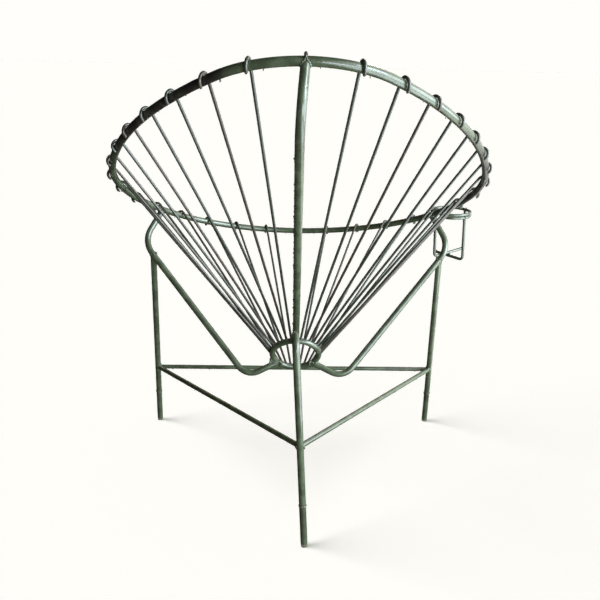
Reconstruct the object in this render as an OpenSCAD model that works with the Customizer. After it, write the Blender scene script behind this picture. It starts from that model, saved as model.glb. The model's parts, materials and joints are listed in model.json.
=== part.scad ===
// Acapulco chair of welded steel rod, with a cup holder at the sitter's right.
// The sitter faces -Y, left is +X and the floor is z = 0. All sizes are millimetres.
// Places are given from the point on the floor midway between the two front feet,
// and the whole chair is then moved so that the origin lies under the middle of its box.

/* [Hoop] */
// Diameter of the hoop's rod
hoop_d = 12.7; // [10:0.1:16]
// Radius of the tight bend at the top of the back, on the rod's centre line
hoop_back_r = 174; // [140:1:220]
// Angle from the middle of the back to the end of that bend
hoop_back_angle = 41; // [32:1:48]
// Radius of the two long side bends
hoop_side_r = 706; // [560:1:900]
// Angle that each side bend turns through
hoop_side_angle = 34; // [26:1:40]
// Slope of the hoop, from the floor
hoop_tilt = 28.2; // [20:0.1:36]
// Distance of the hoop's highest point behind the front feet
hoop_top_y = 606; // [560:1:660]
// Height of the hoop's highest point, on the rod's centre line
hoop_top_z = 841; // [780:1:900]

/* [Seat ring] */
// Diameter of the seat ring's rod
ring_rod_d = 12; // [9:0.1:14]
// Radius of the seat ring, on the rod's centre line
ring_r = 47.5; // [44:0.5:60]
// Distance of the ring's centre behind the front feet
ring_y = 198; // [170:1:230]
// Height of the ring's centre
ring_z = 269; // [240:1:300]
// Slope of the ring, from the floor, back edge high
ring_tilt = 58; // [40:1:70]

/* [Seat wires] */
// Diameter of a seat wire
wire_d = 4.8; // [3:0.1:5.5]
// Number of wires on each side, besides the back wire and the front wire
wire_pairs = 15; // [9:1:15]
// Distance of the wires' ends from the middle of the ring's rod, towards the seat
wire_lift = 3; // [2:0.1:3.5]
// Space between a wire's hook and the hoop
hook_gap = 0.45; // [0.35:0.05:0.9]
// Angle that a hook wraps round the hoop
hook_wrap = 195; // [150:5:220]
// Angle that the back wire's short hook wraps, above the spine
back_hook_wrap = 100; // [70:5:110]

/* [Spine] */
// Diameter of the spine behind the back wire
spine_d = 12.7; // [10:0.1:14]
// Distance of the spine's bend behind the hoop's highest point
spine_bend_back = 34; // [20:1:60]
// Distance of the spine's bend below the hoop's highest point
spine_bend_drop = 66; // [52:1:90]
// Sideways bow of the spine at its bend
spine_bend_x = 6; // [0:0.5:12]
// Inside the bend, the radius of the spine's centre line
spine_bend_r = 70; // [40:1:80]
// Distance of the spine's foot behind the middle of the ring's rod
spine_offset = 7; // [6.5:0.1:9]

/* [Supports] */
// Diameter of the two supports that carry the hoop's front corners
support_d = 12.7; // [10:0.1:14]
// Where a support leaves the ring, as an angle from the back of the ring
support_ring_angle = 128; // [122:1:132]
// Distance of a support's end below the middle of the ring's rod, square to the ring
support_drop = 1.8; // [1:0.1:3]
// Distance of a support's inner elbow from the chair's middle
elbow_x = 100.5; // [96:0.5:106]
// Distance of the inner elbow behind the ring's centre
elbow_back = 2; // [-4:1:8]
// Distance of the inner elbow below the ring's centre
elbow_drop = 53; // [48:1:58]
// Radius of the inner elbow
elbow_r = 35; // [28:1:40]
// Distance of a support's outer corner outside the place where the support meets the hoop
curl_out = 35; // [32:0.5:38]
// Distance of the outer corner behind that place
curl_back = 50; // [46:1:54]
// Distance of the outer corner below that place
curl_drop = 59; // [55:1:64]
// Radius of the curl that turns a support up and back to the hoop
curl_r = 52; // [40:1:56]
// Where the curl meets the hoop, as an angle from the middle of the hoop's front
support_hoop_angle = 58; // [56:0.5:58.5]

/* [Legs] */
// Diameter of the legs
leg_d = 12.7; // [10:0.1:16]
// Distance of each front foot from the chair's middle
front_foot_x = 326; // [300:1:350]
// Distance by which the right front foot stands further forward than the left one
right_foot_lead = 11; // [0:1:15]
// Distance along a support from its inner elbow to the front leg
leg_on_support = 326.5; // [315:0.5:332]
// Distance of the rear foot behind the front feet
rear_foot_y = 455; // [430:1:480]
// Sideways place of the rear foot, which stands a little to the sitter's right
rear_foot_x = -20; // [-30:1:0]
// Distance of the rear leg's upper bend behind the front feet
rear_top_y = 444; // [425:1:460]
// Height of the rear leg's upper bend
rear_top_z = 419; // [400:1:440]
// Sideways place of the rear leg's upper bend
rear_top_x = 4; // [0:0.5:8]
// Radius of the rear leg's upper bend
rear_bend_r = 24; // [16:1:40]
// Height at which each foot piece is butted to its leg
foot_h = 86; // [60:1:110]

/* [Braces] */
// Diameter of the three braces between the legs
brace_d = 9.5; // [7:0.1:12]
// Height of the braces at the front legs
brace_front_z = 156; // [125:1:180]
// Height of the side braces at the rear leg
brace_rear_z = 206; // [170:1:240]

/* [Cup holder] */
// Diameter of the cup holder's rod
cup_rod_d = 6.4; // [5:0.1:8]
// Radius of the cup ring, on the rod's centre line
cup_r = 42; // [40:0.5:44]
// Where the cup ring touches the hoop, as an angle from the middle of the hoop's front
cup_hoop_angle = 59.5; // [59:0.25:60]
// Depth of the lower cradle rod below the cup ring
cup_depth = 101; // [85:1:130]
// Distance by which the cradle leans out from under the ring
cup_lean = 5; // [0:1:8]
// Height by which the upper cradle rod's outer end lies above its middle
cup_slope = 5; // [0:1:7]
// Direction of the near upright on the chair's side, seen from above
cup_near_inner_angle = 28; // [24:1:34]
// Direction of the near upright on the outer side
cup_near_outer_angle = 122; // [116:1:130]
// Direction of the far upright on the outer side
cup_far_outer_angle = 209; // [200:1:220]
// Direction of the far upright on the chair's side
cup_far_inner_angle = 308; // [300:1:316]
// Radius of the cradle's corners
cup_corner_r = 8; // [6:0.5:12]
// Angle of the second strand under the rear side of the ring
cup_strand_angle = 140; // [110:5:150]
// Direction of the middle of that strand, from the chair's side
cup_strand_middle = 115; // [112:1:125]
// Angle that the one hook beside the cup ring wraps, to leave room for the ring
cup_hook_wrap = 105; // [90:5:110]

/* [Joints and bends] */
// Space left for the weld between two rods that meet
weld_gap = 0.15; // [0.1:0.05:0.25]
// How much thicker a rod is in its bends than in its straight runs
bend_swell = 0.1; // [0.04:0.01:0.2]
// Length by which a straight run reaches into a bend
bend_lap = 0.25; // [0.15:0.05:0.25]

/* [Hidden] */
$fn = 48;
ROD_STEPS = 48;
HOOP_STEPS = 360;
DARK = [0.22, 0.28, 0.23];
GREEN = [0.33, 0.41, 0.34];
PALE = [0.42, 0.50, 0.44];
UP = [0, 0, 1];
FLOOR_CUT = 60;

wire_count = 2 * wire_pairs + 2;
hoop_turn = hoop_back_angle + hoop_side_angle;
side_cu = (hoop_back_r - hoop_side_r) * sin(hoop_back_angle);
side_cv = hoop_back_r + (hoop_side_r - hoop_back_r) * cos(hoop_back_angle);
corner_u = side_cu + hoop_side_r * sin(hoop_turn);
hoop_front_r = corner_u / sin(hoop_turn);
front_cv = side_cv - hoop_side_r * cos(hoop_turn) + hoop_front_r * cos(hoop_turn);
back_len = hoop_back_r * hoop_back_angle * PI / 180;
side_len = hoop_side_r * hoop_side_angle * PI / 180;
front_len = hoop_front_r * (180 - hoop_turn) * PI / 180;
half_len = back_len + side_len + front_len;
hook_r = hoop_d / 2 + wire_d / 2 + hook_gap;
ring_normal = [0, -sin(ring_tilt), cos(ring_tilt)];
ring_back = ring_point(0);
half_overhang = hook_r + wire_d / 2;

// Unit vector along v
function unit(v) = v / norm(v);

// A unit vector square to v
function square_to(v) = unit(cross(v, abs(unit(v)[2]) < 0.9 ? UP : [1, 0, 0]));

// Mirror a point or direction to the other side of the chair
function other_side(v) = [-v[0], v[1], v[2]];

// Heading of the hoop after a length s from the middle of the back, measured in its plane
function hoop_heading(s) =
    s < back_len ? s / hoop_back_r * 180 / PI
    : s < back_len + side_len ? hoop_back_angle + (s - back_len) / hoop_side_r * 180 / PI
    : hoop_turn + (s - back_len - side_len) / hoop_front_r * 180 / PI;

// Place in the hoop's plane: across, and forward from the middle of the back
function hoop_uv(s) =
    let (a = hoop_heading(s))
    s < back_len ? [hoop_back_r * sin(a), hoop_back_r * (1 - cos(a))]
    : s < back_len + side_len ? [side_cu + hoop_side_r * sin(a), side_cv - hoop_side_r * cos(a)]
    : [hoop_front_r * sin(a), front_cv - hoop_front_r * cos(a)];

// Direction in the hoop's plane, brought into the chair
function from_hoop(u, v) = [u, -v * cos(hoop_tilt), -v * sin(hoop_tilt)];

// Point of the hoop's centre line, and its direction there
function hoop_point(s) = [0, hoop_top_y, hoop_top_z] + from_hoop(hoop_uv(s)[0], hoop_uv(s)[1]);
function hoop_dir(s) = from_hoop(cos(hoop_heading(s)), sin(hoop_heading(s)));

// Length along the hoop of a place given by its angle from the middle of the front
function from_front(angle) = half_len - hoop_front_r * angle * PI / 180;

// Point of the ring's centre line at an angle from its back edge
function ring_point(a) =
    [0, ring_y, ring_z] + ring_r * [sin(a), cos(a) * cos(ring_tilt), cos(a) * sin(ring_tilt)];

// A rounded corner at p between its neighbours: half angle, tangent length, ends and centre
function half_angle(a, p, b) = acos(unit(a - p) * unit(b - p)) / 2;
function tangent_len(a, p, b, r) = r / tan(half_angle(a, p, b));
function bend_start(a, p, b, r) = p + unit(a - p) * tangent_len(a, p, b, r);
function bend_end(a, p, b, r) = p + unit(b - p) * tangent_len(a, p, b, r);
function bend_centre(a, p, b, r) = p + unit(unit(a - p) + unit(b - p)) * r / sin(half_angle(a, p, b));

// Points of each part that others line up with
ring_centre = [0, ring_y, ring_z];
elbow = ring_centre + [elbow_x, elbow_back, -elbow_drop];
curl_end = hoop_point(from_front(support_hoop_angle));
curl = curl_end + [curl_out, curl_back, -curl_drop];
support_end = ring_point(support_ring_angle) - ring_normal * support_drop;
support_path = [support_end, elbow, curl, curl_end];
leg_top = elbow + unit(curl - elbow) * leg_on_support;
left_foot = [front_foot_x, 0, 0];
right_foot = [-front_foot_x, -right_foot_lead, 0];
rear_foot = [rear_foot_x, rear_foot_y, 0];
rear_top = [rear_top_x, rear_top_y, rear_top_z];
spine_foot = ring_back - ring_normal * spine_offset;
spine_top = [0, hoop_top_y, hoop_top_z];
spine_path = [spine_foot, spine_top + [spine_bend_x, spine_bend_back, -spine_bend_drop], spine_top];
spine_bow = bend_centre(spine_path[0], spine_path[1], spine_path[2], spine_bend_r);
rear_path = [rear_foot, rear_top, spine_foot];
cup_s = from_front(cup_hoop_angle);
cup_out = other_side(unit(cross(hoop_dir(cup_s), UP)));
cup_touch = hoop_d / 2 + cup_rod_d / 2 + weld_gap;
cup_centre = other_side(hoop_point(cup_s)) - cup_out * (cup_touch + cup_r);
strand_z = cup_rod_d + weld_gap;
upper_depth = cup_depth - cup_rod_d - 4 * weld_gap;
cup_hook_reach = wire_d + cup_rod_d + hoop_d;
box_low = [cup_centre[0] - cup_r - cup_rod_d / 2, hoop_point(half_len)[1] - half_overhang];
box_high = [hoop_front_r + half_overhang, spine_bow[1] + spine_bend_r + spine_d / 2];

function wire_name(k) =
    k == 0 ? "wire_back"
    : k == wire_pairs + 1 ? "wire_front"
    : k <= wire_pairs ? str("wire_left_", k)
    : str("wire_right_", wire_count - k);

// Put children in a frame given by its origin and its three directions
module in_frame(p, x, y, z) {
    multmatrix([
        [x[0], y[0], z[0], p[0]],
        [x[1], y[1], z[1], p[1]],
        [x[2], y[2], z[2], p[2]],
        [0, 0, 0, 1]
    ])
        children();
}

// Straight rod from p to q
module rod(p, q, d) {
    z = unit(q - p);
    x = square_to(z);
    in_frame(p, x, cross(z, x), z)
        cylinder(h = norm(q - p), d = d);
}

// Bent rod about centre, from the point p in the direction h
module arc_rod(centre, p, h, angle, d) {
    x = unit(p - centre);
    in_frame(centre, x, h, cross(x, h))
        rotate_extrude(angle = angle)
            translate([norm(p - centre), 0])
                circle(d = d + bend_swell);
}

// Straight rod whose ends reach into the bends at p, at q or at both
module run(p, q, d, lap_p = 0, lap_q = 0) {
    way = unit(q - p);
    rod(p - way * lap_p, q + way * lap_q, d);
}

// The rounded corner of a bent rod
module bend_rod(a, p, b, r, d) {
    arc_rod(bend_centre(a, p, b, r), bend_start(a, p, b, r), unit(p - a), 180 - 2 * half_angle(a, p, b), d);
}

// Rod through three points, with one rounded corner
module rod_one_bend(path, r, d) {
    run(path[0], bend_start(path[0], path[1], path[2], r), d, 0, bend_lap);
    bend_rod(path[0], path[1], path[2], r, d);
    run(bend_end(path[0], path[1], path[2], r), path[2], d, bend_lap, 0);
}

// Rod through four points, with two rounded corners
module rod_two_bends(path, r1, r2, d) {
    first_end = bend_end(path[0], path[1], path[2], r1);
    second_start = bend_start(path[1], path[2], path[3], r2);
    run(path[0], bend_start(path[0], path[1], path[2], r1), d, 0, bend_lap);
    bend_rod(path[0], path[1], path[2], r1, d);
    run(first_end, second_start, d, bend_lap, bend_lap);
    bend_rod(path[1], path[2], path[3], r2, d);
    run(bend_end(path[1], path[2], path[3], r2), path[3], d, bend_lap, 0);
}

// The hoop's rod, of diameter d, in the chair
module hoop_rod(d) {
    translate([0, hoop_top_y, hoop_top_z])
        rotate([hoop_tilt, 0, 0]) {
            tight = d + bend_swell;
            lap = bend_lap / hoop_side_r * 180 / PI;
            plane_arc([0, -hoop_back_r], hoop_back_r, 90 - hoop_back_angle, 2 * hoop_back_angle, tight);
            plane_arc([side_cu, -side_cv], hoop_side_r, 90 - hoop_turn - lap, hoop_side_angle + 2 * lap, d);
            mirror([1, 0, 0])
                plane_arc([side_cu, -side_cv], hoop_side_r, 90 - hoop_turn - lap, hoop_side_angle + 2 * lap, d);
            plane_arc([0, -front_cv], hoop_front_r, 90 + hoop_turn, 360 - 2 * hoop_turn, tight);
        }
}

// An arc of rod in the plane z = 0
module plane_arc(centre, r, from, sweep, d) {
    translate([centre[0], centre[1], 0])
        rotate([0, 0, from])
            rotate_extrude(angle = sweep, $fn = HOOP_STEPS)
                translate([r, 0])
                    circle(d = d, $fn = ROD_STEPS);
}

// The ring's rod, of diameter d, in the chair
module ring_rod(d) {
    translate([0, ring_y, ring_z])
        rotate([ring_tilt, 0, 0])
            rotate_extrude()
                translate([ring_r, 0])
                    circle(d = d);
}

module support_rod(d) {
    rod_two_bends(support_path, elbow_r, curl_r, d);
}

module spine_rod(d) {
    rod_one_bend(spine_path, spine_bend_r, d);
}

module hoop() {
    color(GREEN)
        hoop_rod(hoop_d);
}

module seat_ring() {
    color(GREEN)
        ring_rod(ring_rod_d);
}

module spine() {
    color(GREEN)
        difference() {
            spine_rod(spine_d);
            hoop_rod(hoop_d + 2 * weld_gap);
            ring_rod(ring_rod_d + 2 * weld_gap);
        }
}

// The support at the sitter's left
module support() {
    color(GREEN)
        difference() {
            support_rod(support_d);
            hoop_rod(hoop_d + 2 * weld_gap);
            ring_rod(ring_rod_d + 2 * weld_gap);
        }
}

// Point of a leg's axis at a height
function at_height(foot, top, z) = foot + (top - foot) * z / top[2];

// The upper piece of a front leg, which ends in the underside of its support
module leg_front(foot_point, top) {
    stop = top - unit(top - foot_point) * support_d / 4;
    color(GREEN)
        difference() {
            rod(at_height(foot_point, top, foot_h), stop, leg_d);
            if (top[0] > 0) support_rod(support_d + 2 * weld_gap);
            else mirror([1, 0, 0]) support_rod(support_d + 2 * weld_gap);
        }
}

module leg_rear() {
    path = [at_height(rear_foot, rear_top, foot_h), rear_path[1], rear_path[2]];
    color(GREEN)
        difference() {
            rod_one_bend(path, rear_bend_r, leg_d);
            run(spine_path[0], spine_path[1], spine_d + 2 * weld_gap, 2 * spine_d, 0);
            ring_rod(ring_rod_d + 2 * weld_gap);
        }
}

// The foot piece of a leg, cut flat on the floor
module foot(foot_point, top) {
    axis = unit(top - foot_point);
    color(DARK)
        difference() {
            rod(foot_point - axis * leg_d, at_height(foot_point, top, foot_h) - axis * weld_gap, leg_d);
            translate([foot_point[0], foot_point[1], -FLOOR_CUT / 2])
                cube(FLOOR_CUT, center = true);
        }
}

module front_legs(d) {
    rod(left_foot, leg_top, d);
    rod(right_foot, other_side(leg_top), d);
}

module rear_leg(d) {
    rod(rear_foot, rear_top, d);
}

module brace_front_rod(d) {
    left = at_height(left_foot, leg_top, brace_front_z);
    right = at_height(right_foot, other_side(leg_top), brace_front_z);
    rod(left, right, d);
}

// Side brace from a front leg, given its foot and top, to the rear leg
module brace_side_rod(foot_point, top, d) {
    rod(at_height(foot_point, top, brace_front_z), at_height(rear_foot, rear_top, brace_rear_z), d);
}

module brace_front() {
    color(GREEN)
        difference() {
            brace_front_rod(brace_d);
            front_legs(leg_d + 2 * weld_gap);
        }
}

module brace_left() {
    color(GREEN)
        difference() {
            brace_side_rod(left_foot, leg_top, brace_d);
            front_legs(leg_d + 2 * weld_gap);
            rear_leg(leg_d + 2 * weld_gap);
            brace_front_rod(brace_d + 2 * weld_gap);
        }
}

module brace_right() {
    color(GREEN)
        difference() {
            brace_side_rod(right_foot, other_side(leg_top), brace_d);
            front_legs(leg_d + 2 * weld_gap);
            rear_leg(leg_d + 2 * weld_gap);
            brace_front_rod(brace_d + 2 * weld_gap);
            brace_side_rod(left_foot, leg_top, brace_d + 2 * weld_gap);
        }
}

// One seat wire: straight from the ring, tangent to the hoop's inner side, then hooked over it
module seat_wire(k) {
    left = k <= wire_pairs + 1;
    s = min(k, wire_count - k) / wire_count * 2 * half_len;
    h = left ? hoop_point(s) : other_side(hoop_point(s));
    t = left ? hoop_dir(s) : other_side(hoop_dir(s));
    start = ring_point(k / wire_count * 360) + ring_normal * wire_lift;
    reach = (h - start) - t * ((h - start) * t);
    inward = cross(t, unit(reach)) * (left ? 1 : -1);
    slant = norm(cross(t, unit(h - start)));
    reach_r = hook_r / slant;
    lean = asin(reach_r / norm(reach));
    q = inward * cos(lean) - unit(reach) * sin(lean);
    grip = h + q * reach_r;
    beside_cup = !left && abs(s - cup_s) < cup_hook_reach;
    wrap = k == 0 ? back_hook_wrap : beside_cup ? cup_hook_wrap : hook_wrap;
    color(k % 4 == 1 ? DARK : PALE)
        difference() {
            union() {
                run(start, grip, wire_d, 0, bend_lap);
                arc_rod(h, grip, unit(grip - start), wrap, wire_d);
            }
            ring_rod(ring_rod_d + 2 * weld_gap);
        }
}

// Point of the cup ring at an angle from the chair's side, seen from above
function cup_point(a, z) = cup_centre + [cup_r * cos(a), cup_r * sin(a), z];

module cup_ring_rod(d) {
    translate(cup_centre)
        rotate_extrude()
            translate([cup_r, 0])
                circle(d = d);
}

module cup_strand_rod(d) {
    translate(cup_centre - UP * strand_z)
        rotate([0, 0, cup_strand_middle - cup_strand_angle / 2])
            rotate_extrude(angle = cup_strand_angle)
                translate([cup_r, 0])
                    circle(d = d);
}

module cup_ring() {
    color(DARK)
        cup_ring_rod(cup_rod_d);
}

module cup_strand() {
    color(GREEN)
        cup_strand_rod(cup_rod_d);
}

// Point of the leaning cradle in direction a, at a depth below the ring
function cradle_point(a, depth) = cup_point(a, -depth) - [cup_lean * depth / cup_depth, 0, 0];

// A cradle rod: down from below the ring in direction a, across, and up to the ring in direction b
module cup_cradle(a, b, below, depth_a, depth_b) {
    base = [cradle_point(a, depth_a), cradle_point(b, depth_b)];
    path = [cradle_point(a, below), base[0], base[1], cradle_point(b, 0)];
    color(DARK)
        difference() {
            rod_two_bends(path, cup_corner_r, cup_corner_r, cup_rod_d);
            cup_ring_rod(cup_rod_d + 2 * weld_gap);
            cup_strand_rod(cup_rod_d + 2 * weld_gap);
        }
}

translate([-(box_low[0] + box_high[0]) / 2, -(box_low[1] + box_high[1]) / 2, 0]) {
    hoop();
    spine();
    seat_ring();
    support();  // support_left
    mirror([1, 0, 0]) support();  // support_right
    leg_front(left_foot, leg_top);  // leg_front_left
    leg_front(right_foot, other_side(leg_top));  // leg_front_right
    leg_rear();
    foot(left_foot, leg_top);  // foot_front_left
    foot(right_foot, other_side(leg_top));  // foot_front_right
    foot(rear_foot, rear_top);  // foot_rear
    brace_front();
    brace_left();
    brace_right();
    cup_ring();
    cup_strand();
    cup_cradle(  // cup_cradle_upper
            cup_near_inner_angle, cup_far_outer_angle, 0,
            upper_depth + cup_slope, upper_depth - cup_slope
        );
    cup_cradle(cup_near_outer_angle, cup_far_inner_angle, strand_z, cup_depth, cup_depth);  // cup_cradle_lower
    for (k = [0 : wire_count - 1])
        seat_wire(k);
}
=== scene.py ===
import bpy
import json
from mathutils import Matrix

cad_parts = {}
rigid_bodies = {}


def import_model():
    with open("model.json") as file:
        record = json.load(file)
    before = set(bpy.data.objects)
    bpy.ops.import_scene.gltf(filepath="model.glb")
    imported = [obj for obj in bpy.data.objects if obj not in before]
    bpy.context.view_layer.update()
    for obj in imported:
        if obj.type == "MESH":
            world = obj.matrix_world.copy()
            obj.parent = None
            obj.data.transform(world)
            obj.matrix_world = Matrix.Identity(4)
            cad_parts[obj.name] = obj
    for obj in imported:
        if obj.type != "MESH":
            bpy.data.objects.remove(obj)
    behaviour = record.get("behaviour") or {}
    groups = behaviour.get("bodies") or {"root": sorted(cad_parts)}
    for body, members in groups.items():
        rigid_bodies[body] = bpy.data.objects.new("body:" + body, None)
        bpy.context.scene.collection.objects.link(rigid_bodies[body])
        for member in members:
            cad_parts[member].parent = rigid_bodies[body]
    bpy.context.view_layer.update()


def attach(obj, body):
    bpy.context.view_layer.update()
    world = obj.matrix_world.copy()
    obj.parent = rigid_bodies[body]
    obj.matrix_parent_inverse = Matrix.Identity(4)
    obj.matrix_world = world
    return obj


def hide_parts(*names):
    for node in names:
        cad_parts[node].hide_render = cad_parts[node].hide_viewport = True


bl_info = {
    "name": "Acapulco Chair",
    "version": (1, 0, 0),
    "blender": (4, 5, 0),
    "location": "3D View > Sidebar > Acapulco Chair",
    "description": "Builds a welded and enamelled acapulco chair, rod by rod, with its seams of weld",
    "category": "Add Mesh",
}

import json
from math import asin, cos, inf, pi, radians, sin, tan

import bpy
from bpy.props import FloatProperty, FloatVectorProperty, IntProperty, PointerProperty
from mathutils import Matrix, Vector

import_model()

MM = 0.001
UP = Vector((0, 0, 1))
SIDES = ((1, "left"), (-1, "right"))


# Sizes and colours


def size(name, mm, text):
    return FloatProperty(name=name, description=text, default=mm * MM, unit="LENGTH", precision=4)


def angle(name, degrees, text):
    return FloatProperty(name=name, description=text, default=radians(degrees), subtype="ANGLE")


def colour(name, rgb, text):
    return FloatVectorProperty(name=name, description=text, default=rgb, min=0, max=1, subtype="COLOR")


def place(name, mm, text):
    where = tuple(v * MM for v in mm)
    return FloatVectorProperty(name=name, description=text, default=where, subtype="TRANSLATION", precision=4)


def amount(name, value, text):
    return FloatProperty(name=name, description=text, default=value, min=0, soft_max=1)


def upright(name, degrees):
    return angle(name, degrees, "Direction of this upright, seen from above")


def power(name, watts, text):
    return FloatProperty(name=name, description=text, default=watts, min=0, unit="POWER")


class HoopSizes(bpy.types.PropertyGroup):
    rod: size("Hoop rod", 12.7, "Diameter of the hoop's rod")
    back_r: size("Back bend", 174, "Radius of the tight bend at the top of the back")
    back_angle: angle("Back bend angle", 41, "Angle from the middle of the back to the end of its bend")
    side_r: size("Side bend", 706, "Radius of the long side bends")
    side_angle: angle("Side bend angle", 34, "Angle that each side bend turns through")
    tilt: angle("Hoop slope", 28.2, "Slope of the hoop from the floor")
    top_y: size("Hoop top, back", 606, "Distance of the hoop's top behind the front feet")
    top_z: size("Hoop top, height", 841, "Height of the hoop's top")


class SeatSizes(bpy.types.PropertyGroup):
    ring_rod: size("Ring rod", 12, "Diameter of the seat ring's rod")
    ring_r: size("Ring radius", 47.5, "Radius of the seat ring")
    ring_y: size("Ring, back", 198, "Distance of the ring's centre behind the front feet")
    ring_z: size("Ring, height", 269, "Height of the ring's centre")
    ring_tilt: angle("Ring slope", 58, "Slope of the ring, back edge high")
    wire: size("Seat wire", 4.8, "Diameter of a seat wire")
    pairs: IntProperty(name="Wire pairs", description="Seat wires on each side", default=15, min=3)
    lift: size("Wire lift", 3, "Distance of the wires' ends above the middle of the ring's rod")
    hook_gap: size("Hook gap", 0.45, "Space between a hook and the hoop")
    hook_wrap: angle("Hook wrap", 195, "Angle that a hook wraps round the hoop")
    back_wrap: angle("Back hook wrap", 100, "Angle that the back wire's hook wraps")
    cup_wrap: angle("Hook by the cup ring", 105, "Angle that the hook beside the cup ring wraps")
    wander: size("Wire wander", 0.5, "How far a wire strays from its straight line")


class BaseSizes(bpy.types.PropertyGroup):
    rod: size("Base rod", 12.7, "Diameter of the spine, supports and legs")
    brace: size("Brace rod", 9.5, "Diameter of the braces")
    foot_x: size("Front foot", 326, "Distance of each front foot from the chair's middle")
    right_lead: size("Right foot lead", 11, "How much further forward the right front foot stands")
    on_ring: angle("Support on ring", 128, "Where a support leaves the ring, from the ring's back")
    elbow: place("Inner elbow", (100.5, 2, -53), "Inner elbow of the left support, from the ring's centre")
    on_hoop: angle("Support on hoop", 58, "Where a support meets the hoop, from the middle of the front")
    curl: place("Outer corner", (35, 50, -59), "Outer corner of the left support, from its place on the hoop")
    on_support: size("Leg on support", 326.5, "Distance along a support from its elbow to the front leg")
    rear_foot: place("Rear foot", (-20, 455, 0), "Rear foot, from the middle between the front feet")
    rear_top: place("Rear bend", (4, 444, 419), "Bend of the rear leg, from the same middle")
    spine_bend: place("Spine bend place", (6, 34, -66), "Bend of the spine, from the hoop's top")
    foot_h: size("Foot piece", 86, "Height at which a foot piece is welded to its leg")
    brace_front_z: size("Brace, front", 156, "Height of the braces at the front legs")
    brace_rear_z: size("Brace, rear", 206, "Height of the side braces at the rear leg")
    elbow_r: size("Elbow radius", 35, "Radius of a support's inner elbow")
    curl_r: size("Curl radius", 52, "Radius of a support's outer curl")
    spine_r: size("Spine bend", 70, "Radius of the spine's bend")
    rear_r: size("Rear bend", 24, "Radius of the rear leg's bend")


class CupSizes(bpy.types.PropertyGroup):
    rod: size("Cup rod", 6.4, "Diameter of the cup holder's rod")
    r: size("Cup ring", 42, "Radius of the cup ring")
    contact: angle("Cup ring contact", 59.5, "Where the ring touches the hoop, from the middle of the front")
    depth: size("Cup depth", 101, "Depth of the lower cradle rod below the ring")
    lean: size("Cradle lean", 5, "How far the cradle leans out from under the ring")
    slope: size("Cradle slope", 5, "How far the upper cradle rod's outer end lies above its middle")
    near_inner: upright("Near inner upright", 28)
    near_outer: upright("Near outer upright", 122)
    far_outer: upright("Far outer upright", 209)
    far_inner: upright("Far inner upright", 308)
    corner: size("Cradle corner", 8, "Radius of the cradle's corners")


class FinishLook(bpy.types.PropertyGroup):
    enamel: colour("Enamel", (0.165, 0.205, 0.118), "Olive green enamel on the frame")
    enamel_dark: colour("Thin enamel", (0.062, 0.074, 0.04), "Enamel where it is thin or dusty")
    wire_enamel: colour("Wire enamel", (0.08, 0.092, 0.068), "Darker enamel on the seat wires")
    rust: colour("Rust", (0.105, 0.05, 0.026), "Brown of rust that shows through")
    chalk: colour("Chalk", (0.30, 0.34, 0.31), "Pale bloom on old enamel")
    # Brown-black painted on marked stretches of the hoop: partly darkened enamel, partly painted shade.
    dark_enamel_and_shade: colour("Dark enamel and painted shade", (0.034, 0.025, 0.022), "Brown-black of darkened enamel and of painted shade")
    wear: amount("Wear", 0.5, "How much rust and bloom shows")
    gloss: amount("Roughness", 0.24, "Roughness of the sound enamel")


class StageLook(bpy.types.PropertyGroup):
    lens: FloatProperty(
        name="Lens", description="Focal length on a 36 mm sensor", default=40.92, min=10, unit="CAMERA"
    )
    key: amount("Window light", 2.0, "Strength of the wide light at the sitter's right")
    key_colour: colour("Window colour", (0.76, 0.89, 1.0), "Colour of that light and of the panels")
    front: amount("Front light", 2.0, "Strength of the soft light on the seat's front, away from the camera")
    doorway: power("Doorway light", 30, "Power of the wide panel low behind the camera")
    wall: power("Wall light", 54, "Power of the wide panel at the sitter's right")
    ground: power("Ground light", 14, "Power of the panel near the ground behind the chair")
    fill: amount("Room light", 0.05, "Strength of the room's own light")
    bounce: amount("Floor bounce", 0.2, "Light that the floor throws back up at the chair")
    shade_colour: colour("Shade colour", (1.0, 0.92, 0.74), "Colour of the light on the shaded side")
    floor_tone: colour("Floor", (1.0, 0.992, 0.957), "Colour of the floor and the backdrop")
    # The shade between the feet is painted into the floor's colour, not cast.
    floor_painted_shade: amount("Floor painted shade", 0.93, "How much of the floor's tone is left between the feet")
    floor_side: amount("Floor side light", 6.8, "Strength of the light that casts the feet's shadows")
    floor_top: amount("Floor top light", 0.3, "Strength of the light that shades the floor below the chair")


class ChairSizes(bpy.types.PropertyGroup):
    hoop: PointerProperty(name="Hoop", description="Sizes of the hoop", type=HoopSizes)
    seat: PointerProperty(name="Seat", description="Sizes of the ring and the wires", type=SeatSizes)
    base: PointerProperty(name="Base", description="Sizes of what carries the seat", type=BaseSizes)
    cup: PointerProperty(name="Cup holder", description="Sizes of the cup holder", type=CupSizes)


# Routes of the rods, in metres

BEND_STEP = 2 * MM
HOOP_STEPS = 400
HOOK_STEPS = 26
WELD_GAP = 0.15 * MM
CRADLE_GAP = 0.6 * MM
SUPPORT_BELOW_RING = 1.8 * MM
SPINE_BELOW_RING = 7 * MM
STRAND_START, STRAND_SWEEP = radians(45), radians(140)
RING_POINTS = 120


def unit(v):
    return v.normalized()


def mirrored(v):
    return Vector((-v.x, v.y, v.z))


def corner(a, p, b, r):
    """Start, end and centre of a bend of radius r at p, between a and b."""
    u, v = unit(a - p), unit(b - p)
    half = u.angle(v) / 2
    reach = r / tan(half)
    return p + u * reach, p + v * reach, p + unit(u + v) * (r / sin(half))


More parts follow.
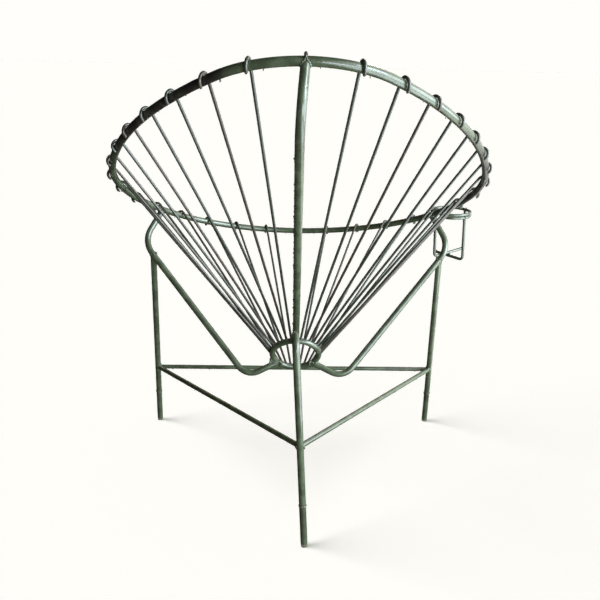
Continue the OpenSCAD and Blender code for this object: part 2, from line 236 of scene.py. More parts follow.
def bent(points, radii):
    """Points along a rod through some points, with a bend at each inner one."""
    route = [points[0]]
    for i, r in enumerate(radii):
        start, end, centre = corner(points[i], points[i + 1], points[i + 2], r)
        x, y = start - centre, unit(points[i + 1] - start) * r
        turn = pi - (points[i] - points[i + 1]).angle(points[i + 2] - points[i + 1])
        steps = max(6, round(turn * r / BEND_STEP))
        for j in range(steps + 1):
            t = turn * j / steps
            route.append(centre + x * cos(t) + y * sin(t))
    route.append(points[-1])
    return route


class ChairRoutes:
    """Places of every rod, worked out from the sizes."""

    def __init__(self, sizes):
        self.bow, self.seat, self.base, self.cup = sizes.hoop, sizes.seat, sizes.base, sizes.cup
        h = self.bow
        turn = h.back_angle + h.side_angle
        side_u = (h.back_r - h.side_r) * sin(h.back_angle)
        side_v = h.back_r + (h.side_r - h.back_r) * cos(h.back_angle)
        self.front_r = (side_u + h.side_r * sin(turn)) / sin(turn)
        front_v = side_v + (self.front_r - h.side_r) * cos(turn)
        back, side = h.back_r * h.back_angle, h.side_r * h.side_angle
        self.half = back + side + self.front_r * (pi - turn)
        self.arcs = (
            (0, 0, h.back_r, 0, h.back_r),
            (back, h.back_angle, h.side_r, side_u, side_v),
            (back + side, turn, self.front_r, 0, front_v),
        )
        self.top = Vector((0, h.top_y, h.top_z))
        self.place_base()
        self.place_cup()
        self.centre_on_box()

    def arc_at(self, s):
        """Heading of the hoop at a length s from the back, and the radius and centre of its arc there."""
        start, heading, *arc = next(arc for arc in reversed(self.arcs) if s >= arc[0])
        return heading + (s - start) / arc[0], *arc

    def in_hoop(self, u, v):
        t = self.bow.tilt
        return Vector((u, -v * cos(t), -v * sin(t)))

    def hoop_point(self, s):
        a, r, u, v = self.arc_at(s)
        return self.top + self.in_hoop(u + r * sin(a), v - r * cos(a))

    def hoop_dir(self, s):
        a = self.arc_at(s)[0]
        return self.in_hoop(cos(a), sin(a))

    def from_front(self, a):
        return self.half - self.front_r * a

    def ring_centre(self):
        return Vector((0, self.seat.ring_y, self.seat.ring_z))

    def ring_normal(self):
        t = self.seat.ring_tilt
        return Vector((0, -sin(t), cos(t)))

    def ring_point(self, a):
        t = self.seat.ring_tilt
        way = Vector((sin(a), cos(a) * cos(t), cos(a) * sin(t)))
        return self.ring_centre() + self.seat.ring_r * way

    def place_base(self):
        b, n = self.base, self.ring_normal()
        start = self.ring_point(b.on_ring) - n * SUPPORT_BELOW_RING
        elbow = self.ring_centre() + b.elbow
        end = self.hoop_point(self.from_front(b.on_hoop))
        self.support_points = [start, elbow, end + b.curl, end]
        self.leg_top = elbow + unit(end + b.curl - elbow) * b.on_support
        self.front_feet = {1: Vector((b.foot_x, 0, 0)), -1: Vector((-b.foot_x, -b.right_lead, 0))}
        self.rear_foot, self.rear_top = b.rear_foot.copy(), b.rear_top.copy()
        self.below_ring = self.ring_point(0) - n * SPINE_BELOW_RING
        self.spine_points = [self.below_ring, self.top + b.spine_bend, self.top]

    def place_cup(self):
        c, h = self.cup, self.bow
        self.cup_s = self.from_front(c.contact)
        out = unit(mirrored(self.hoop_dir(self.cup_s).cross(UP)))
        touch = h.rod / 2 + c.rod / 2 + WELD_GAP
        self.cup_touch = mirrored(self.hoop_point(self.cup_s)) - out * (h.rod / 2)
        self.cup_centre = mirrored(self.hoop_point(self.cup_s)) - out * (touch + c.r)
        self.cup_side = Vector((out.y, -out.x, 0))
        self.strand_drop = c.rod + WELD_GAP

    def centre_on_box(self):
        """The move that puts the chair's box over the middle of the floor."""
        s, b, c = self.seat, self.base, self.cup
        reach = self.bow.rod / 2 + s.wire + s.hook_gap
        back = corner(*self.spine_points, b.spine_r)[2].y + b.spine_r + b.rod / 2
        left, right = self.front_r + reach, self.cup_centre.x - c.r - c.rod / 2
        front = self.hoop_point(self.half).y - reach
        self.move = Vector((-(left + right) / 2, -(back + front) / 2, 0))

    def placed(self, points):
        return [p + self.move for p in points]

    def hoop(self):
        half = [self.hoop_point(self.half * i / HOOP_STEPS) for i in range(HOOP_STEPS + 1)]
        return self.placed(half + [mirrored(p) for p in half[-2:0:-1]])

    def ring(self):
        return self.placed([self.ring_point(radians(360 / RING_POINTS * i)) for i in range(RING_POINTS)])

    def spine(self):
        return self.placed(bent(self.spine_points, [self.base.spine_r]))

    def support(self, side):
        route = bent(self.support_points, [self.base.elbow_r, self.base.curl_r])
        return self.placed(route if side > 0 else [mirrored(p) for p in route])

    def on_leg(self, side, z):
        top = self.leg_top if side > 0 else mirrored(self.leg_top)
        foot = self.front_feet[side]
        return foot + (top - foot) * (z / top.z) + self.move

    def on_rear(self, z):
        return self.rear_foot + (self.rear_top - self.rear_foot) * (z / self.rear_top.z) + self.move

    def at_height(self, z):
        """The point of each leg at height z."""
        return {"front_left": self.on_leg(1, z), "front_right": self.on_leg(-1, z), "rear": self.on_rear(z)}

    def front_leg(self, side):
        low, top = self.on_leg(side, self.base.foot_h), self.on_leg(side, self.leg_top.z)
        return [low, top - unit(top - low) * (self.base.rod / 4)]

    def rear_leg(self):
        low = self.on_rear(self.base.foot_h) - self.move
        return self.placed(bent([low, self.rear_top, self.below_ring], [self.base.rear_r]))

    def braces(self):
        left, right = (self.on_leg(side, self.base.brace_front_z) for side in (1, -1))
        rear = self.on_rear(self.base.brace_rear_z)
        return {"front": [left, right], "left": [left, rear], "right": [right, rear]}

    def wire_count(self):
        return 2 * self.seat.pairs + 2

    def wire(self, k):
        """Centre line of seat wire k, hook and all, counted from the back towards the sitter's left."""
        s, n, hoop_rod = self.seat, self.wire_count(), self.bow.rod
        left = k <= s.pairs + 1
        along = min(k, n - k) / n * 2 * self.half
        h, t = self.hoop_point(along), self.hoop_dir(along)
        if not left:
            h, t = mirrored(h), mirrored(t)
        start = self.ring_point(2 * pi * k / n) + self.ring_normal() * s.lift
        reach = (h - start) - t * (h - start).dot(t)
        inward = t.cross(unit(reach)) * (1 if left else -1)
        slant = t.cross(unit(h - start)).length
        r = (hoop_rod / 2 + s.wire / 2 + s.hook_gap) / slant
        lean = asin(r / reach.length)
        q = inward * cos(lean) - unit(reach) * sin(lean)
        w = unit(h + q * r - start)
        beside_cup = not left and abs(along - self.cup_s) < s.wire + self.cup.rod + hoop_rod
        wrap = s.back_wrap if k == 0 else s.cup_wrap if beside_cup else s.hook_wrap
        turns = [wrap * i / HOOK_STEPS for i in range(HOOK_STEPS + 1)]
        return self.placed([start] + [h + (q * cos(a) + w * sin(a)) * r for a in turns])

    def cup_point(self, a, z):
        c = self.cup
        return self.cup_centre + Vector((c.r * cos(a), c.r * sin(a), z))

    def cup_arc(self, drop, start, sweep):
        steps = max(12, round(sweep * self.cup.r / BEND_STEP))
        return self.placed([self.cup_point(start + sweep * i / steps, -drop) for i in range(steps + 1)])

    def cup_ring(self):
        return self.cup_arc(0.0, 0.0, 2 * pi)[:-1]

    def cup_strand(self):
        return self.cup_arc(self.strand_drop, STRAND_START, STRAND_SWEEP)

    def cradle_point(self, a, depth):
        return self.cup_point(a, -depth) - Vector((self.cup.lean * depth / self.cup.depth, 0, 0))

    def cradle(self, a, b, below, depth_a, depth_b):
        """A cradle rod that starts below the ring at angle a and comes up to it at angle b."""
        base = [self.cradle_point(a, depth_a), self.cradle_point(b, depth_b)]
        points = [self.cradle_point(a, below), *base, self.cradle_point(b, 0)]
        return self.placed(bent(points, [self.cup.corner] * 2))

    def cradle_upper(self):
        c = self.cup
        middle = c.depth - c.rod - CRADLE_GAP
        return self.cradle(c.near_inner, c.far_outer, 0, middle + c.slope, middle - c.slope)

    def cradle_lower(self):
        c = self.cup
        return self.cradle(c.near_outer, c.far_inner, self.strand_drop, c.depth, c.depth)


# Node trees: what their nodes and sockets are made with


def add(tree, kind, inputs=None, **settings):
    """A node. Each input is a plain value, a socket, or a node whose first output it takes."""
    node = tree.nodes.new(kind)
    for name, value in settings.items():
        setattr(node, name, value)
    for label, value in (inputs or {}).items():
        if isinstance(value, bpy.types.Node):
            value = value.outputs[0]
        if isinstance(value, bpy.types.NodeSocket):
            tree.links.new(value, node.inputs[label])
        else:
            node.inputs[label].default_value = value
    return node


def calc(tree, operation, a, b):
    return add(tree, "ShaderNodeMath", {0: a, 1: b}, operation=operation)


def scaled(tree, vector, factor):
    return add(tree, "ShaderNodeVectorMath", {0: vector, "Scale": factor}, operation="SCALE")


def new_tree(name, kind, inputs, outputs):
    """A tree and its given sockets, each of the type of its default or, without one, of its name."""
    tree = bpy.data.node_groups.new(name, kind)
    for way, sockets in (("INPUT", inputs), ("OUTPUT", outputs)):
        for label, default in sockets.items():
            sort = label if default is None else {float: "Float", int: "Int", tuple: "Color"}[type(default)]
            socket = tree.interface.new_socket(label, in_out=way, socket_type="NodeSocket" + sort)
            if default is not None:
                socket.default_value = default
    return tree, add(tree, "NodeGroupInput").outputs


def lay_out(tree):
    """Sets each node in a column to the left of the nodes that it feeds."""
    column = {node.name: 0 for node in tree.nodes}
    for _ in tree.nodes:
        for link in tree.links:
            source, target = link.from_node.name, link.to_node.name
            column[source] = max(column[source], column[target] + 1)
    rows = {}
    for node in tree.nodes:
        across = column[node.name]
        rows[across] = rows.get(across, 0) + 1
        node.location = (-220 * across, -260 * rows[across])


def end_tree(tree, results):
    add(tree, "NodeGroupOutput", results)
    lay_out(tree)
    return tree


def tree_named(name, make, *settings):
    return bpy.data.node_groups.get(name) or make(name, *settings)


# Geometry Nodes: what follows a rod or a seam

WANDER_SCALE = 9
WORN_FROM, WORN_TO = 1.5 * MM, 9 * MM
SHARP_EDGE = radians(50)


def geometry_tree(name, sizes):
    """A Geometry Nodes tree with its given sockets, and the points that it sets along the given lines."""
    inputs = {"Geometry": None, **sizes, "Material": None}
    tree, given = new_tree(name, "GeometryNodeTree", inputs, {"Geometry": None})
    tree.is_modifier = True
    line = add(tree, "GeometryNodeMeshToCurve", {0: given["Geometry"]})
    points = {"Curve": line, "Length": given["Step"]}
    return tree, given, add(tree, "GeometryNodeResampleCurve", points, mode="LENGTH")


def finish_tree(tree, source, given):
    """Smooth faces, then the Realize Instances and Set Material that every tree ends in."""
    smooth = add(tree, "GeometryNodeSetShadeSmooth", {"Geometry": source})
    real = add(tree, "GeometryNodeRealizeInstances", {"Geometry": smooth})
    coated = {"Geometry": real, "Material": given["Material"]}
    return end_tree(tree, {"Geometry": add(tree, "GeometryNodeSetMaterial", coated)})


def rod_tree(name):
    """A rod swept along a line: it wanders a little, and marks its two cut ends."""
    sizes = {"Rod radius": 0.005, "Step": 0.003, "Sides": 20, "Wander": 0.0, "Seed": 0.0}
    tree, given, line = geometry_tree(name, sizes)
    drawn = {"Scale": WANDER_SCALE, "W": given["Seed"]}
    drawn = add(tree, "ShaderNodeTexNoise", drawn, noise_dimensions="4D").outputs["Color"]
    stray = add(tree, "ShaderNodeVectorMath", {0: drawn, 1: (0.5, 0.5, 0.5)}, operation="SUBTRACT")
    stray = scaled(tree, stray, given["Wander"])
    line = add(tree, "GeometryNodeSetPosition", {"Geometry": line, "Offset": stray})
    along = add(tree, "GeometryNodeSplineParameter").outputs["Length"]
    left_over = calc(tree, "SUBTRACT", add(tree, "GeometryNodeSplineLength"), along)
    nearest = calc(tree, "MINIMUM", along, left_over)
    fade = {"Value": nearest, "From Min": WORN_FROM, "From Max": WORN_TO, "To Min": 1, "To Max": 0}
    fade = add(tree, "ShaderNodeMapRange", fade)
    mark = {"Geometry": line, "Name": "cut_end", "Value": fade}
    line = add(tree, "GeometryNodeStoreNamedAttribute", mark, data_type="FLOAT", domain="POINT")
    outline = {"Resolution": given["Sides"], "Radius": given["Rod radius"]}
    outline = add(tree, "GeometryNodeCurvePrimitiveCircle", outline)
    swept = {"Curve": line, "Profile Curve": outline, "Fill Caps": True}
    return finish_tree(tree, add(tree, "GeometryNodeCurveToMesh", swept), given)


def blob_tree(name, shape, lean_along):
    """Rounded blobs of metal or paint set along a line, each of its own size."""
    sizes = {"Step": 0.002, "Blob radius": 0.0015, "Jitter": 0.0003}
    sizes.update({"Unevenness": 0.3, "Share": 1.0, "Seed": 0})
    tree, given, line = geometry_tree(name, sizes)
    seed, uneven = given["Seed"], given["Unevenness"]
    chosen = {"Probability": given["Share"], "Seed": seed}
    chosen = add(tree, "FunctionNodeRandomValue", chosen, data_type="BOOLEAN").outputs[3]
    blob = add(tree, "GeometryNodeMeshIcoSphere", {"Radius": given["Blob radius"], "Subdivisions": 2})
    scale = {2: calc(tree, "SUBTRACT", 1, uneven), 3: calc(tree, "ADD", 1, uneven), "Seed": seed}
    scale = add(tree, "FunctionNodeRandomValue", scale, data_type="FLOAT").outputs[1]
    set_on = {"Points": line, "Selection": chosen, "Instance": blob, "Scale": scaled(tree, shape, scale)}
    if lean_along:
        way = add(tree, "GeometryNodeInputTangent")
        set_on["Rotation"] = add(tree, "FunctionNodeAlignRotationToVector", {"Vector": way}, axis="X")
    blobs = add(tree, "GeometryNodeInstanceOnPoints", set_on)
    spread = {"Min": (-1, -1, -1), "Max": (1, 1, 1), "Seed": seed}
    spread = add(tree, "FunctionNodeRandomValue", spread, data_type="FLOAT_VECTOR")
    moved = {"Instances": blobs, "Translation": scaled(tree, spread, given["Jitter"]), "Local Space": False}
    blobs = add(tree, "GeometryNodeTranslateInstances", moved)
    return finish_tree(tree, add(tree, "GeometryNodeRealizeInstances", {"Geometry": blobs}), given)


TREES = {
    "Enamelled rod": (rod_tree,),
    "Weld seam": (blob_tree, (1.15, 0.95, 0.8), True),
    "Paint drops": (blob_tree, (0.9, 0.9, 1.5), False),
}


def line_mesh(name, lines):
    """A mesh of edges only. Each line is (points, closed)."""
    points, edges = [], []
    for route, closed in lines:
        first = len(points)
        points.extend(route)
        edges.extend((first + i, first + i + 1) for i in range(len(route) - 1))
        if closed:
            edges.append((len(points) - 1, first))
    mesh = bpy.data.meshes.new(name)
    mesh.from_pydata(points, edges, [])
    return mesh


def linked(name, data):
    """A new object in the scene."""
    made = bpy.data.objects.new(name, data)
    bpy.context.scene.collection.objects.link(made)
    return made


def grown(name, lines, tree, values):
    """An object made by a tree from some lines, as a plain mesh."""
    tree = tree_named(tree, *TREES[tree])
    piece = linked(name, line_mesh(name, lines))
    modifier = piece.modifiers.new(tree.name, "NODES")
    modifier.node_group = tree
    sockets = {s.name: s.identifier for s in tree.interface.items_tree if s.in_out == "INPUT"}
    for label, value in values.items():
        modifier[sockets[label]] = value
    graph = bpy.context.evaluated_depsgraph_get()
    made = piece.evaluated_get(graph)
    mesh = bpy.data.meshes.new_from_object(made, preserve_all_data_layers=True, depsgraph=graph)
    piece.modifiers.remove(modifier)
    piece.data = mesh
    mesh.name = name
    if not mesh.polygons:
        raise RuntimeError("nothing was made for " + name)
    mesh.set_sharp_from_angle(angle=SHARP_EDGE)
    return piece


def handed_over(piece, slot, *nodes):
    """The piece rides on the chair, and stands for its CAD nodes."""
    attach(piece, "root")
    if nodes:
        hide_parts(*nodes)
    return piece


# Where one rod meets another

SEAM_POINTS = 28
SEARCH_STEP = 0.6 * MM
NEAR_A_JOINT = 60 * MM
SUNK = 0.1 * MM


def nearest_distance(p, route):
    best = inf
    for a, b in zip(route, route[1:]):
        d = b - a
        t = max(0.0, min(1.0, (p - a).dot(d) / max(d.length_squared, 1e-12)))
        best = min(best, (p - (a + d * t)).length)
    return best


def close_part(route, p):
    """The stretch of a route that lies near p, closed routes included."""
    near = [i for i, q in enumerate(route) if (q - p).length < NEAR_A_JOINT]
    if len(near) < 2:
        return route
    if near[0] == 0 and near[-1] == len(route) - 1 and len(near) < len(route):
        gap = next(i for i in range(len(near) - 1) if near[i + 1] - near[i] > 1)
        near = near[gap + 1 :] + near[: gap + 1]
    return [route[i] for i in near]


def round_rod(way, r):
    """Steps from the middle of a rod to the points of a seam round it."""
    x = unit(way.orthogonal())
    y = way.cross(x)
    turns = [2 * pi * i / SEAM_POINTS for i in range(SEAM_POINTS)]
    return [(x * cos(a) + y * sin(a)) * r for a in turns]


def seam(end, out, r, other, other_r, most=0.02):
    """The closed line on a rod, going out from end, where it leaves the surface of the other rod."""
    other = close_part(other, end)
    line = []
    for side in round_rod(out, r):
        t = most
        while t > -r and nearest_distance(end + side + out * t, other) > other_r:
            t -= SEARCH_STEP
        line.append(end + side + out * t)
    return line, True


def seam_at_start(route, *others):
    return seam(route[0], unit(route[1] - route[0]), *others)


def seam_at_end(route, *others):
    return seam(route[-1], unit(route[-2] - route[-1]), *others)


def route_below(route, r):
    """The line along the lower side of a rod."""
    line = []
    for i, p in enumerate(route):
        way = unit(route[min(i + 1, len(route) - 1)] - route[max(i - 1, 0)])
        down = -UP + way * way.z
        line.append(p + unit(down) * (r - 2 * SUNK))
    return line


# Finishes


def rgba(rgb):
    return (*rgb, 1)


def noise(tree, vector, scale, detail, rough=0.55):
    inputs = {"Vector": vector, "Scale": scale, "Detail": detail, "Roughness": rough}
    return add(tree, "ShaderNodeTexNoise", inputs)


def band(tree, value, low, high, to_low=0.0, to_high=1.0):
    inputs = {"Value": value, "From Min": low, "From Max": high, "To Min": to_low, "To Max": to_high}
    return add(tree, "ShaderNodeMapRange", inputs, interpolation_type="SMOOTHSTEP")


def blend(tree, factor, a, b):
    """Mixes two colours."""
    return add(tree, "ShaderNodeMix", {0: factor, 6: a, 7: b}, data_type="RGBA").outputs[2]


def enamel_tone(name):
    """Colour of brushed enamel: thick and thin places, chalky bloom, rust that comes through, and brown-black
    at marked places, partly darkened enamel and partly painted shade.
    """
    inputs = {"Vector": None, "Dark place": 0.0, "Worn place": 0.0, "Wear": 0.5, "Roughness": 0.25}
    inputs.update(dict.fromkeys(("Enamel", "Thin enamel", "Chalk", "Rust", "Darkened"), (0.1, 0.1, 0.1, 1)))
    outputs = {"Colour": (0, 0, 0, 1), "Roughness": 0.0, "Rust mask": 0.0, "Gloss": 0.0}
    tree, given = new_tree(name, "ShaderNodeTree", inputs, outputs)

    def places(scale, detail, low, high, rough=0.55, least=0.0, most=1.0):
        return band(tree, noise(tree, given["Vector"], scale, detail, rough), low, high, least, most)

    def times(a, b):
        return calc(tree, "MULTIPLY", a, b)

    base = blend(tree, times(places(38, 4, 0.4, 0.62), 0.6), given["Enamel"], given["Thin enamel"])
    bloom = times(times(places(120, 5, 0.56, 0.78, 0.65), given["Wear"]), 0.25)
    pale = blend(tree, bloom, base, given["Chalk"])
    specks = times(times(places(17, 3, 0.5, 0.7), places(330, 6, 0.5, 0.62, 0.7)), given["Wear"])
    ends = times(given["Worn place"], places(260, 4, 0.3, 0.55, least=0.1, most=0.5))
    rust = calc(tree, "MAXIMUM", specks, ends)
    # Brown-black at the marked places: partly darkened enamel, partly painted shade.
    dark = times(places(60, 4, 0.3, 0.6, least=0.6), given["Dark place"])
    tone = blend(tree, dark, blend(tree, rust, pale, given["Rust"]), given["Darkened"])
    rough = given["Roughness"]
    for mask, share in ((bloom, 0.5), (rust, 0.4), (dark, 0.12)):
        rough = calc(tree, "ADD", rough, times(mask, share))
    dull = calc(tree, "MAXIMUM", calc(tree, "MAXIMUM", rust, bloom), times(dark, 0.7))
    gloss = calc(tree, "SUBTRACT", 1.0, dull)
    return end_tree(tree, {"Colour": tone, "Roughness": rough, "Rust mask": rust, "Gloss": gloss})


def enamel_relief(name):
    """Height of enamel put on by hand: a pebbled skin, slow ripples and pits where it has rusted."""
    inputs = {"Vector": None, "Skin": 0.3, "Ripple": 1.0, "Rust mask": 0.0}
    tree, given = new_tree(name, "ShaderNodeTree", inputs, {"Height": 0.0})
    at = given["Vector"]
    slow = add(tree, "ShaderNodeMapping", {"Vector": at, "Scale": (1, 1, 0.35)})
    skin = calc(tree, "MULTIPLY", noise(tree, at, 700, 2), given["Skin"])
    ripple = calc(tree, "MULTIPLY", noise(tree, slow, 110, 3), given["Ripple"])
    pits = calc(tree, "MULTIPLY", noise(tree, at, 520, 5, 0.7), given["Rust mask"])
    height = calc(tree, "SUBTRACT", calc(tree, "ADD", skin, ripple), pits)
    return end_tree(tree, {"Height": height})


def group_node(tree, name, make, inputs):
    return add(tree, "ShaderNodeGroup", inputs, node_tree=tree_named(name, make))


def plain_material(name):
    material = bpy.data.materials.new(name)
    material.use_nodes = True
    material.node_tree.nodes.clear()
    return material, material.node_tree


def coat_with(tree, shader, kind="ShaderNodeOutputMaterial"):
    add(tree, kind, {"Surface": shader})
    lay_out(tree)


def enamel(name, tone, thin, wear, rough, ends):
    """An enamelled steel finish. A piece's attributes mark its brown-black places, partly darkened enamel and
    partly painted shade, and its worn ends.
    """
    look = bpy.context.scene.chair_finish
    material, tree = plain_material(name)
    at = add(tree, "ShaderNodeTexCoord").outputs["Object"]
    inputs = {"Vector": at, "Wear": wear, "Roughness": rough, "Enamel": rgba(tone), "Thin enamel": rgba(thin)}
    inputs.update({"Chalk": rgba(look.chalk), "Rust": rgba(look.rust), "Darkened": rgba(look.dark_enamel_and_shade)})
    inputs["Dark place"] = add(tree, "ShaderNodeAttribute", attribute_name="dark_place").outputs["Fac"]
    if ends:
        inputs["Worn place"] = add(tree, "ShaderNodeAttribute", attribute_name="cut_end").outputs["Fac"]
    paint = group_node(tree, "Enamel tone", enamel_tone, inputs).outputs
    relief = {"Vector": at, "Rust mask": paint["Rust mask"]}
    relief = group_node(tree, "Enamel relief", enamel_relief, relief)
    bump = add(tree, "ShaderNodeBump", {"Strength": 0.55, "Distance": 0.6 * MM, "Height": relief})
    shader = {
        "Base Color": paint["Colour"],
        "Roughness": paint["Roughness"],
        "Coat Weight": paint["Gloss"],
        "Normal": bump,
        "Specular IOR Level": 0.8,
        "Coat Roughness": 0.07,
    }
    coat_with(tree, add(tree, "ShaderNodeBsdfPrincipled", shader))
    return material


def finish_for(kind):
    """The material of one kind of rod."""
    look = bpy.context.scene.chair_finish
    olive, thin, pale = tuple(look.enamel), tuple(look.enamel_dark), tuple(look.wire_enamel)
    wear, rough = look.wear, look.gloss

    def toned(rgb, share, tint=(0, 0, 0)):
        return tuple(v * share + b for v, b in zip(rgb, tint))

    brown_pale, brown_thin = toned(pale, 0.7, (0.022, 0.006, 0)), toned(thin, 0.5, (0.055, 0.02, 0.0))
    recipes = {
        "frame": ("Frame enamel", olive, thin, wear, rough),
        "wire": ("Wire enamel", pale, thin, wear, rough),
        "brown_wire": ("Rusting wire enamel", brown_pale, brown_thin, wear * 2, rough + 0.12),
        "cup": ("Cup holder enamel", toned(olive, 0.8), thin, wear * 0.8, rough),
        "foot": ("Foot enamel", toned(olive, 0.85), thin, wear * 1.4, rough + 0.06),
        "weld": ("Enamelled weld", toned(olive, 0.9), thin, wear * 0.7, rough),
    }
    name, *recipe = recipes[kind]
    return bpy.data.materials.get(name) or enamel(name, *recipe, ends=kind != "weld")


# Operators

SLOTS = {
    "frame": "frame_enamel",
    "wire": "seat_wire_enamel",
    "brown_wire": "seat_wire_enamel",
    "cup": "cup_holder_enamel",
    "foot": "foot_enamel",
}
# Stretches of the hoop where brown-black is painted, partly darkened enamel and partly painted shade.
DARK_ENAMEL_AND_SHADE_STRETCHES = {1: (0.06, 0.1, 0.36, 0.46), -1: (0.26, 0.42, 0.64, 0.76)}
BROWN_WIRES = (1, 3, 5, 8, 11, 14, 17, 20, 24, 27, 30)
LEG_BY_BRACE, REAR_LEG_BY_BRACE = (0.08, 0.25), (0.12, 0.3)
CUP_BEAD = 2.2 * MM
SPATTER_LINES, SPATTER_TURN = 5, 1.25
WELD_WEBS = {1: ((13, 9), (21, 13), (29, 17), (36, 21)), -1: ((12, 8), (20, 12))}


def chair(context):
    return ChairRoutes(context.scene.chair_sizes)


def rod(name, node, route, diameter, kind, closed=False, step=3.0, sides=24, wander=0.3, seed=0.0):
    """One rod, which stands for its CAD node. Step and wander are in millimetres."""
    values = {"Rod radius": diameter / 2, "Step": step * MM, "Wander": wander * MM}
    values.update({"Sides": sides, "Seed": seed, "Material": finish_for(kind)})
    return handed_over(grown(name, [(route, closed)], "Enamelled rod", values), SLOTS[kind], node)


def blobs(name, lines, tree, slot, step, radius, uneven, jitter, seed, share=1.0, kind="weld"):
    """Beads of weld or drops of paint along some lines. Step, radius and jitter are in millimetres."""
    values = {"Step": step * MM, "Blob radius": radius * MM, "Jitter": jitter * MM}
    values.update({"Unevenness": uneven, "Share": share, "Seed": seed, "Material": finish_for(kind)})
    return handed_over(grown(name, lines, tree, values), slot)


class CHAIR_OT_hoop(bpy.types.Operator):
    """Bend the hoop that carries the seat wires"""

    bl_idname = "chair.hoop"
    bl_label = "Hoop"

    def execute(self, context):
        routes = chair(context)
        piece = rod("hoop_bar", "hoop", routes.hoop(), routes.bow.rod, "frame", closed=True)
        self.paint_dark_enamel_and_shade(piece, routes)
        return {"FINISHED"}

    def paint_dark_enamel_and_shade(self, piece, routes):
        """Marks where brown-black is painted, partly darkened enamel and partly painted shade: high on the
        left side, lower on the right.
        """
        stretches = {
            side: [-routes.hoop_point(routes.half * share).y for share in shares]
            for side, shares in DARK_ENAMEL_AND_SHADE_STRETCHES.items()
        }
        dark_and_shade_marks = []
        for v in piece.data.vertices:
            a, b, c, d = stretches[1 if v.co.x > routes.move.x else -1]
            y = routes.move.y - v.co.y
            dark_and_shade_marks.append(max(0.0, min(1.0, (y - a) / (b - a), (d - y) / (d - c))))
        layer = piece.data.attributes.new("dark_place", "FLOAT", "POINT")
        layer.data.foreach_set("value", dark_and_shade_marks)


class CHAIR_OT_seat(bpy.types.Operator):
    """Set the seat ring and stretch the wires from it to the hoop"""

    bl_idname = "chair.seat"
    bl_label = "Seat ring and wires"

    def execute(self, context):
        routes = chair(context)
        seat, n = routes.seat, routes.wire_count()
        ring = routes.ring()
        rod("seat_ring_bar", "seat_ring", ring, seat.ring_rod, "frame", closed=True, step=2.0, wander=0.4)
        for k in range(n):
            word = self.wire_word(k, seat.pairs)
            kind = "brown_wire" if (k * 7) % n in BROWN_WIRES else "wire"
            drawn = dict(sides=14, wander=seat.wander / MM, seed=k * 1.7)
            rod("seat_wire_" + word, "wire_" + word, routes.wire(k), seat.wire, kind, **drawn)
        return {"FINISHED"}

    def wire_word(self, k, pairs):
        if k in (0, pairs + 1):
            return "front" if k else "back"
        return f"left_{k}" if k <= pairs else f"right_{2 * pairs + 2 - k}"


class CHAIR_OT_base(bpy.types.Operator):
    """Set up the spine, the two supports, the three legs and their braces"""

    bl_idname = "chair.base"
    bl_label = "Spine, supports, legs and braces"

    def execute(self, context):
        routes = chair(context)
        base = routes.base
        rod("spine_bar", "spine", routes.spine(), base.rod, "frame")
        for side, word in SIDES:
            rod("support_bar_" + word, "support_" + word, routes.support(side), base.rod, "frame", seed=side)
            rod("front_leg_bar_" + word, "leg_front_" + word, routes.front_leg(side), base.rod, "frame")
        rod("rear_leg_bar", "leg_rear", routes.rear_leg(), base.rod, "frame")
        welded_at = routes.at_height(base.foot_h)
        for word, low in routes.at_height(0).items():
            route = [low, welded_at[word]]
            piece = rod("foot_piece_" + word, "foot_" + word, route, base.rod, "foot", wander=0.0)
            for v in piece.data.vertices:
                v.co.z = max(0.0, v.co.z)
        for word, route in routes.braces().items():
            rod("brace_bar_" + word, "brace_" + word, route, base.brace, "frame", sides=20)
        return {"FINISHED"}


class CHAIR_OT_cup_holder(bpy.types.Operator):
    """Bend the cup holder: a ring, a second strand under it and two cradle rods"""

    bl_idname = "chair.cup_holder"
    bl_label = "Cup holder"

    def execute(self, context):
        routes = chair(context)
        lines = {
            "cup_ring": routes.cup_ring(),
            "cup_strand": routes.cup_strand(),
            "cup_cradle_upper": routes.cradle_upper(),
            "cup_cradle_lower": routes.cradle_lower(),
        }
        for node, route in lines.items():
            drawn = dict(closed=node == "cup_ring", step=1.5, sides=16, wander=0.15)
            rod(node + "_bar", node, route, routes.cup.rod, "cup", **drawn)
        return {"FINISHED"}


